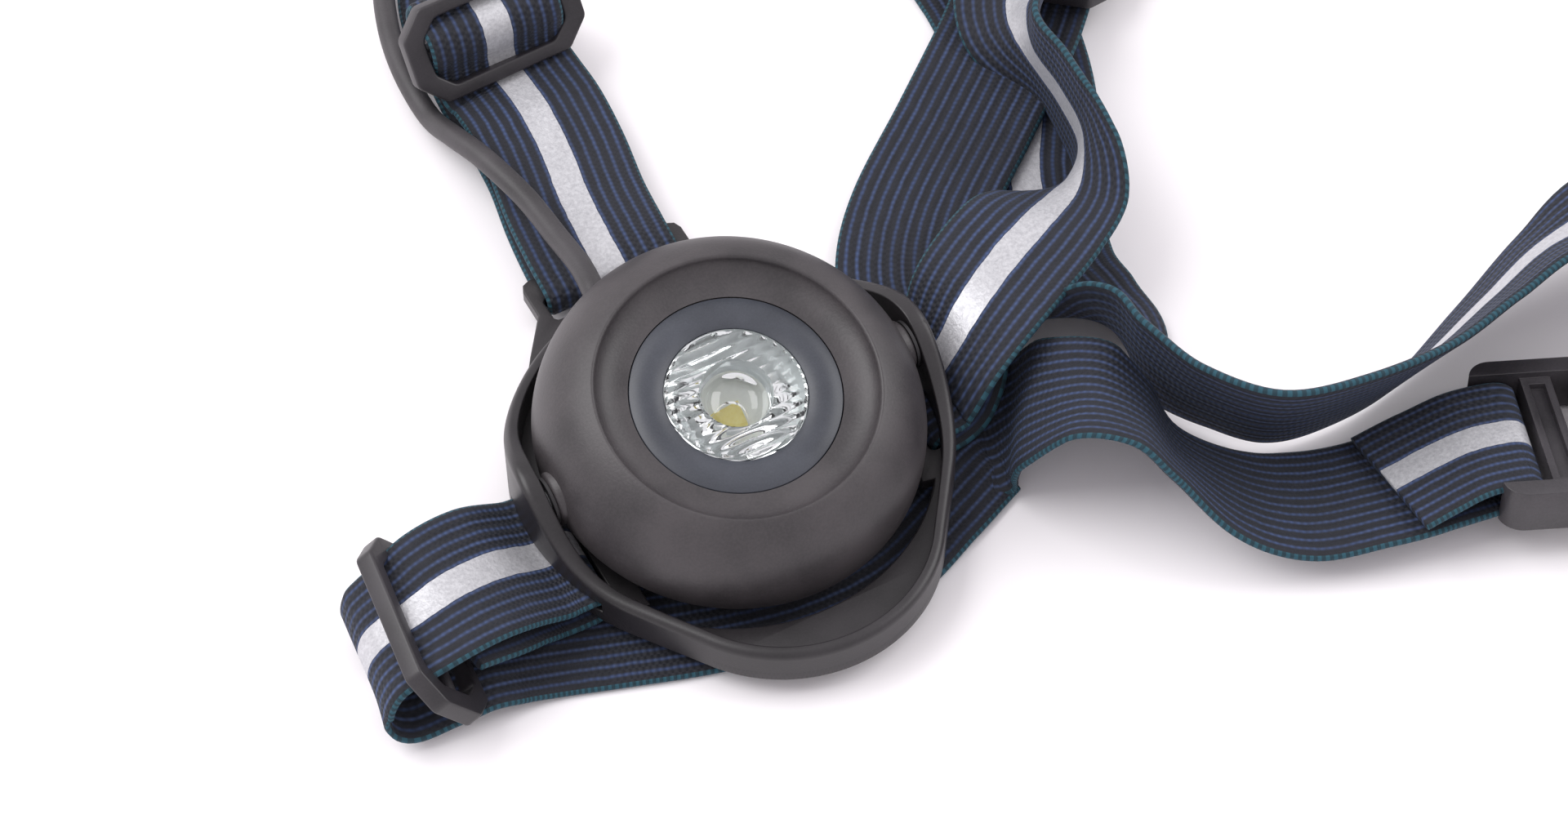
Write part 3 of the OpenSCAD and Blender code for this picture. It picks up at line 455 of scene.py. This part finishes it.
def turned(profile, segments=160, closed=True):
    """A mesh turned round Z from a profile of radius and height, in mm."""
    points, faces = [], []
    n = len(profile)
    for i in range(segments):
        a = 2 * math.pi * i / segments
        points += [(r * math.cos(a) * MM, r * math.sin(a) * MM, z * MM) for r, z in profile]
    for i in range(segments):
        j = (i + 1) % segments
        for k in range(n if closed else n - 1):
            m = (k + 1) % n
            faces.append((i * n + k, j * n + k, j * n + m, i * n + m))
    mesh = bpy.data.meshes.new("turned")
    mesh.from_pydata(points, [], faces)
    return mesh


def bar_mesh(radius, length, end=0.4):
    """A round bar along X with softened ends, in mm."""
    h = length / 2
    mesh = turned([(0.0001, -h), (radius - end, -h), (radius, -h + end), (radius, h - end),
                   (radius - end, h), (0.0001, h)], 32, False)
    mesh.transform(Matrix.Rotation(math.radians(90), 4, "Y"))
    return mesh


def slide(name, node, x, y, z, about_z, about_x):
    place = (Matrix.Translation((x * MM, y * MM, z * MM))
             @ Matrix.Rotation(math.radians(about_z), 4, "Z")
             @ Matrix.Rotation(math.radians(about_x), 4, "X"))
    frame_loops = [cut_corners(slide_long, slide_wide, 4.6),
                   cut_corners(slide_hole_long, slide_hole_wide, 3)]
    meshes = [flat_solid(frame_loops, -slide_thick / 2, slide_thick / 2, 0.45),
              bar_mesh(1.2, slide_hole_long + 2)]
    made = joined(name, meshes, place, nylon, "harness")
    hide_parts(node)


slide("moulded_slide_top", "slide_top", 3.3, 95.2, 12, 3, 58)
slide("moulded_slide_right", "slide_right", 99.5, 71, 3.4, -40, 0)
slide("moulded_slide_left", "slide_left", -60, -9.5, 7, 84, 55)

# ---- Buckle --------------------------------------------------------------------------------
# A side-release buckle in acetal: a socket and a plug, each with a round bar for the webbing and
# a wide bar with a channel, and two arms that spring out into the socket's side windows.
acetal = moulded("buckle acetal, injection moulded", "2a282b", "3d3a3e", 0.36, 0.4, 0.02)


def softened(name, node, edge, material, body, limit=32):
    """A copy of a CAD node with its edges rounded, which stands for the node."""
    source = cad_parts[node].data
    work = bmesh.new()
    work.from_mesh(source)
    bmesh.ops.remove_doubles(work, verts=work.verts, dist=0.004 * MM)
    bmesh.ops.dissolve_limit(work, angle_limit=math.radians(1.5), verts=work.verts,
                             edges=work.edges)
    mesh = bpy.data.meshes.new(name)
    work.to_mesh(mesh)
    work.free()
    mesh.materials.clear()
    mesh.materials.append(material)
    mesh.polygons.foreach_set("material_index", [0] * len(mesh.polygons))
    mesh.polygons.foreach_set("use_smooth", [True] * len(mesh.polygons))
    made = bpy.data.objects.new(name, mesh)
    bpy.context.scene.collection.objects.link(made)
    bevel = made.modifiers.new("edges", "BEVEL")
    bevel.width = edge * MM
    bevel.segments = 3
    bevel.limit_method = "ANGLE"
    bevel.angle_limit = math.radians(limit)
    bevel.harden_normals = True
    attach(made, body)
    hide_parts(node)
    return made


softened("moulded_buckle_socket", "buckle_socket", 0.7, acetal, "harness")
softened("moulded_buckle_plug", "buckle_plug", 0.7, acetal, "harness")
softened("moulded_latch_near", "buckle_latch_near", 0.3, acetal, "latch_near")
softened("moulded_latch_far", "buckle_latch_far", 0.3, acetal, "latch_far")

# ---- Front plate ---------------------------------------------------------------------------
# A glass-filled nylon plate with a loop on each side for the webbing, an opening behind the
# lamp, and a rim that rises into two ears which hold the pivot pins.
ear_r, scoop_r, scoop_shift = 36.8, 26.5, 17.5
floor_thick, rim_wall, scoop_h, ear_h = 2.5, 2, 7, 17
slot_wide, slot_thick = 25.8, 2.4
side_loop_y = (-4, -2)
ear_wall = 1.2                   # how much thicker the rim is at the ears

plate_plastic = moulded("plate nylon, moulded with a satin grain", "1d1b1d", "2a272a", 0.4, 0.4,
                        0.03)


def outline_point(degrees):
    a = math.radians(degrees)
    if scoop_r - scoop_shift * math.sin(a) > ear_r:
        return scoop_r * math.cos(a), -scoop_shift + scoop_r * math.sin(a)
    return ear_r * math.cos(a), ear_r * math.sin(a)


def rim_height(y):
    bump = (ear_h - scoop_h) * math.exp(-((y - 3) / (15 if y > 3 else 12)) ** 2)
    return min(scoop_h + bump, max(floor_thick, floor_thick + (40 - y) * 0.7))


def rim_mesh():
    """The raised rim: one rounded section carried round the outline, open over the side slots."""
    coarse = np.array([outline_point(a) for a in np.arange(0, 360, 0.75)])
    loop = np.vstack([coarse, coarse[:1]])
    run = np.concatenate([[0], np.cumsum(np.linalg.norm(np.diff(loop, axis=0), axis=1))])
    even = np.arange(0, run[-1], 0.7)
    outline = np.stack([np.interp(even, run, loop[:, i]) for i in (0, 1)], 1)
    stations = []
    for i, (x, y) in enumerate(outline):
        ahead = outline[(i + 1) % len(outline)] - outline[i - 1]
        normal = np.array([ahead[1], -ahead[0]]) / np.linalg.norm(ahead)
        k = 0 if x < 0 else 1
        inside = abs(x) > 26 and abs(y - side_loop_y[k]) < slot_wide / 2
        stations.append((x, y, normal, floor_thick + slot_thick if inside else 0.3))
    points, faces, ring = [], [], None
    doubled = []
    for i, s in enumerate(stations):
        before = stations[i - 1]
        if s[3] != before[3]:
            doubled.append((s[0], s[1], s[2], before[3]))
        doubled.append(s)
    for x, y, normal, low in doubled:
        h = rim_height(y)
        wall = rim_wall + ear_wall * math.exp(-(y / 16) ** 2)
        if y > 0:
            wall = min(wall, rim_wall + 1.2)
        out_r = min(1.3, (h - low) / 2)
        in_r = 0.3
        section = [(0, low)]
        section += [(out_r * (1 - math.cos(b)), h - out_r + out_r * math.sin(b))
                    for b in np.linspace(0, math.pi / 2, 9)]
        section += [(wall - in_r + in_r * math.sin(b), h - in_r + in_r * math.cos(b))
                    for b in np.linspace(0, math.pi / 2, 5)]
        section += [(wall, low)]
        for inward, z in section:
            points.append(((x - normal[0] * inward) * MM, (y - normal[1] * inward) * MM, z * MM))
        ring = len(section)
    count = len(doubled)
    for i in range(count):
        j = (i + 1) % count
        for k in range(ring):
            m = (k + 1) % ring
            faces.append((i * ring + k, j * ring + k, j * ring + m, i * ring + m))
    mesh = bpy.data.meshes.new("rim")
    mesh.from_pydata(points, [], faces)
    return mesh


def box_loop(x0, y0, x1, y1, soft=0.6):
    """A softened rectangle between two corners, in mm."""
    loop = cut_corners(x1 - x0, y1 - y0, soft, soft * 0.4)
    return [(x + (x0 + x1) / 2, y + (y0 + y1) / 2) for x, y in loop]


def floor_mesh():
    """The plate's floor with its top loop, its side slots, and the openings behind the lamp."""
    join = 49.5
    arc = [outline_point(a) for a in np.arange(180 - join, 361 + join, 1.5)]
    tab = [(20, 34), (15.1, 41), (15.1, 46.7), (14.5, 48.1), (13.1, 48.7)]
    outline = arc + tab + [(-x, y) for x, y in tab[::-1]]
    back = [(33.6 * math.cos(math.radians(a)), 33.6 * math.sin(math.radians(a)))
            for a in np.arange(-144.5, -35.4, 2)]
    opening = back + [(25, -19.5), (25, -3), (-25, -3), (-25, -19.5)]
    loops = [outline, opening, box_loop(-13, 11, -3, 34.9), box_loop(-12.9, 38.7, 12.9, 43.7)]
    for k, s in ((0, -1), (1, 1)):
        x = s * (ear_r - 5 - slot_thick / 2)
        loops.append(box_loop(x - slot_thick / 2, side_loop_y[k] - slot_wide / 2,
                              x + slot_thick / 2, side_loop_y[k] + slot_wide / 2))
    return flat_solid(loops, 0, floor_thick, 0.35)


plate = joined("moulded_front_plate", [floor_mesh(), rim_mesh()], Matrix.Identity(4),
               plate_plastic, "harness")
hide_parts("front_plate")

# ---- Lamp head -----------------------------------------------------------------------------
# A round shell in spark-eroded ABS with a raised crest round its face, a flat ring inside the
# crest, and a clear lens pressed in from behind. It turns on steel pins in the plate's ears.
rim_r, rim_drop, crest_r, crest_h, ring_r, ring_h = 32.2, 1.3, 23.5, 13.7, 17.2, 10.4
lens_r, well_r, shell_wall, seam = 11.5, 5.8, 1.8, 0.15
in_lamp = Matrix.Translation((0, 0, 12 * MM)) @ Matrix.Rotation(math.radians(12.5), 4, "X")

shell_plastic = moulded("lamp shell ABS, spark-eroded mould grain", "2d2a2c", "403c3e", 0.46,
                        0.42, 0.05)
face_plastic = moulded("face ring ABS, smooth mould", "30333a", "3f424a", 0.38, 0.3, 0.012)


def dome_profile(inset, count):
    run, rise = 14.9, 16.5
    end = math.asin((crest_h + rim_drop) / rise)
    return [(rim_r - inset - run * (1 - math.cos(end * i / count)),
             -rim_drop + (rise - inset) * math.sin(end * i / count)) for i in range(count + 1)]


outer = dome_profile(0, 40)
crater_run, crater_deep = crest_r - 0.6 - ring_r - seam, crest_h - ring_h
crater = [(ring_r + seam + crater_run * math.sin(math.radians(a)),
           ring_h + crater_deep * (1 - math.cos(math.radians(a)))) for a in range(84, -1, -4)]
top = outer[-1]
crest = [(top[0] - 0.12, top[1] + 0.03), (top[0] - 0.3, top[1] + 0.03)]
shell_profile = (outer[:-1] + [(top[0] + 0.1, top[1] - 0.05)] + crest + crater
                 + [(ring_r + seam, ring_h - 0.1), (ring_r + seam, ring_h - 2.2),
                    (ring_r + 4.3, ring_h - 0.9)] + dome_profile(shell_wall, 12)[::-1][1:])
boss = [turned([(0.0001, 0), (3.9, 0), (4.5, -0.6), (4.5, -5), (0.0001, -5)], 48, False)
        for s in (-1, 1)]
for s, mesh in zip((-1, 1), boss):
    mesh.transform(Matrix.Rotation(math.radians(90 * s), 4, "Y")
                   @ Matrix.Translation((0, 0, (rim_r + 0.4) * MM)))
shell = joined("moulded_lamp_shell", [turned(shell_profile, 256)] + boss, in_lamp, shell_plastic,
               "lamp", 50)
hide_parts("lamp_shell")

ring_profile = [(ring_r, ring_h - 2), (ring_r, ring_h - 0.12), (ring_r - 0.12, ring_h),
                (lens_r + 0.3, ring_h), (lens_r + 0.15, ring_h - 0.15), (lens_r + 0.15, ring_h - 2)]
face = joined("moulded_face_ring", [turned(ring_profile, 256)], in_lamp, face_plastic, "lamp",
              50)
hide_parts("face_ring")

# The lens is clear polycarbonate: flutes across its front spread the beam sideways, and a domed
# lens in the well at its middle throws the beam forwards.
clear, clear_shader = new_material("lens polycarbonate, clear and polished")
for key, value in (("Base Color", srgb("f7fbfb")), ("Roughness", 0.02), ("IOR", 1.585),
                   ("Transmission Weight", 1.0)):
    clear_shader.inputs[key].default_value = value
flute_pitch, flute_deep = 1.8, 0.34
well_floor, well_top = 6.3, 10.4
dome_r, dome_base, dome_rise = 5.9, 6.4, 3


def lens_mesh():
    turns = 256
    dome_rings = 12
    radii = np.concatenate([[0.0001], np.linspace(0.5, well_r - 0.3, dome_rings),
                            [well_r - 0.05, well_r, well_r, well_r + 0.06, well_r + 0.2],
                            np.linspace(well_r + 0.4, lens_r - 0.5, 26),
                            [lens_r - 0.25, lens_r - 0.1, lens_r]])
    back = [(11.5, 8.4), (10.9, 8.2), (8.5, 6.2), (4.4, 0.4), (1.8, 0.4), (1.8, 0.9),
            (0.0001, 0.9)]
    points = []
    for i in range(turns):
        a = 2 * math.pi * i / turns
        for k, r in enumerate(radii):
            y = r * math.sin(a)
            if k <= dome_rings:
                z = dome_base + dome_rise * math.sqrt(max(0, 1 - (r / dome_r) ** 2))
            elif k <= dome_rings + 2:
                z = well_floor
            elif k <= dome_rings + 4:
                z = well_top + 0.22 * (k - dome_rings - 3)
            else:
                flat = min(1, (lens_r - r) / 0.5)
                wave = abs(math.cos(math.pi * y / flute_pitch))
                z = ring_h + 0.1 + 0.15 * flat + flute_deep * wave * flat
            points.append((r * math.cos(a) * MM, y * MM, z * MM))
        points += [(r * math.cos(a) * MM, r * math.sin(a) * MM, z * MM) for r, z in back]
    n = len(radii) + len(back)
    faces = [(i * n + k, i * n + k + 1, (i + 1) % turns * n + k + 1, (i + 1) % turns * n + k)
             for i in range(turns) for k in range(n - 1)]
    mesh = bpy.data.meshes.new("lens")
    mesh.from_pydata(points, [], faces)
    return mesh


lens = joined("fluted_lens", [lens_mesh()], in_lamp, clear, "lamp", 40)
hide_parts("lens")

# ---- Lamp's inner pieces and back ----------------------------------------------------------
# The lamp's back shell, its screws, the pins and washers, and the light source behind the lens.
dark_rubber = moulded("seal rubber, moulded", "1b1a1c", "29272a", 0.6, 0.3, 0.02)


def metal(name, tone, rough, grain):
    """A metal with fine tool marks."""
    material, shader = new_material(name)
    place = add(material, "ShaderNodeTexCoord").outputs["Object"]
    marks = add(material, "ShaderNodeTexNoise", [("Vector", place), ("Scale", 1 / (grain * MM)),
                                                 ("Detail", 4.0)])
    gloss = add(material, "ShaderNodeMapRange", [("Value", marks.outputs[0]),
                                                 ("To Min", rough - 0.1), ("To Max", rough + 0.15)])
    material.node_tree.links.new(gloss.outputs[0], shader.inputs["Roughness"])
    shader.inputs["Base Color"].default_value = srgb(tone)
    shader.inputs["Metallic"].default_value = 1.0
    return material


holder_white = moulded("reflector polycarbonate, white", "dfe3e3", "f4f6f6", 0.3, 0.8, 0.01)
steel = metal("stainless steel, turned", "a5a7aa", 0.32, 0.3)
aluminium = metal("aluminium, machined", "c2c5c8", 0.38, 0.4)
nickel = metal("spring contacts, nickel plated", "cfd1d3", 0.25, 0.5)
inner_black = moulded("switch body nylon, black", "17171a", "232326", 0.45, 0.4, 0.01)
phosphor = moulded("led phosphor, silicone", "e8cf52", "f6e68a", 0.35, 0.3, 0.01)
board_white = moulded("light source board, white solder mask", "e6e6df", "f5f5ef", 0.35, 0.5, 0.005)
board_green = moulded("control board, green solder mask", "245a30", "2f6d3c", 0.32, 0.5, 0.005)
cell_wrap = moulded("cell sleeve, shrunk PVC film", "345f93", "4274ad", 0.25, 2.0, 0.02)
pipe = moulded("status light pipe, frosted acrylic", "8fd39a", "b4ecbb", 0.3, 0.4, 0.01)

for node, material in (("lens_holder", holder_white), ("lens_seal", dark_rubber),
                       ("led_emitter", phosphor), ("led_board", board_white),
                       ("heat_sink", aluminium), ("lamp_back", plate_plastic),
                       ("lamp_screws", steel), ("pivot_pins", steel),
                       ("friction_washers", dark_rubber), ("lamp_strain_relief", dark_rubber),
                       ("pack_gasket", dark_rubber), ("battery_cells", cell_wrap),
                       ("battery_contacts", nickel), ("control_board", board_green),
                       ("tact_switch", inner_black), ("charge_port", aluminium),
                       ("status_light", pipe), ("pack_screws", steel),
                       ("pack_strain_relief", dark_rubber)):
    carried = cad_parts[node]
    carried.data.materials.clear()
    carried.data.materials.append(material)
    carried.data.polygons.foreach_set("material_index", [0] * len(carried.data.polygons))

# ---- Battery pack --------------------------------------------------------------------------
# Two moulded shells screwed together over a gasket, with three webbing loops, a rubber power
# button and a rubber flap over the charging port.
button_rubber = moulded("button rubber, silicone", "3a3b40", "505157", 0.55, 0.4, 0.02)
softened("moulded_pack_base", "pack_base", 0.8, plate_plastic, "harness")
softened("moulded_pack_cover", "pack_cover", 1.2, shell_plastic, "harness")
softened("moulded_power_button", "power_button", 0.6, button_rubber, "power_button")
softened("moulded_port_flap", "port_flap", 0.25, dark_rubber, "port_flap")

# ---- Table and light -----------------------------------------------------------------------
# A white table under large soft lights, bright enough that it reads as plain white.
table_z = -4 * MM
table_mesh = bpy.data.meshes.new("table")
reach = 3.0
table_mesh.from_pydata([(-reach, -reach, table_z), (reach, -reach, table_z),
                        (reach, reach, table_z), (-reach, reach, table_z)], [], [(0, 1, 2, 3)])
table = bpy.data.objects.new("table", table_mesh)
bpy.context.scene.collection.objects.link(table)
paper, paper_shader = new_material("table, matt white board")
paper_shader.inputs["Base Color"].default_value = srgb("f6f3f5")
paper_shader.inputs["Roughness"].default_value = 0.75
table_mesh.materials.append(paper)

world = bpy.data.worlds.new("studio")
bpy.context.scene.world = world
world.use_nodes = True
world.node_tree.nodes["Background"].inputs[0].default_value = srgb("fbf7fb")
world.node_tree.nodes["Background"].inputs[1].default_value = 0.95


def soft_light(name, spot, size, power, target=(0.02, 0.03, 0)):
    """A large square light that faces the target."""
    lamp = bpy.data.lights.new(name, "AREA")
    lamp.shape, lamp.size, lamp.energy = "SQUARE", size, power
    made = bpy.data.objects.new(name, lamp)
    made.location = spot
    made.rotation_euler = (Vector(target) - Vector(spot)).to_track_quat("-Z", "Y").to_euler()
    bpy.context.scene.collection.objects.link(made)


soft_light("key from behind left", (-0.55, 0.45, 0.9), 0.9, 10)
soft_light("fill from the right", (0.8, -0.1, 0.6), 0.6, 3.5)
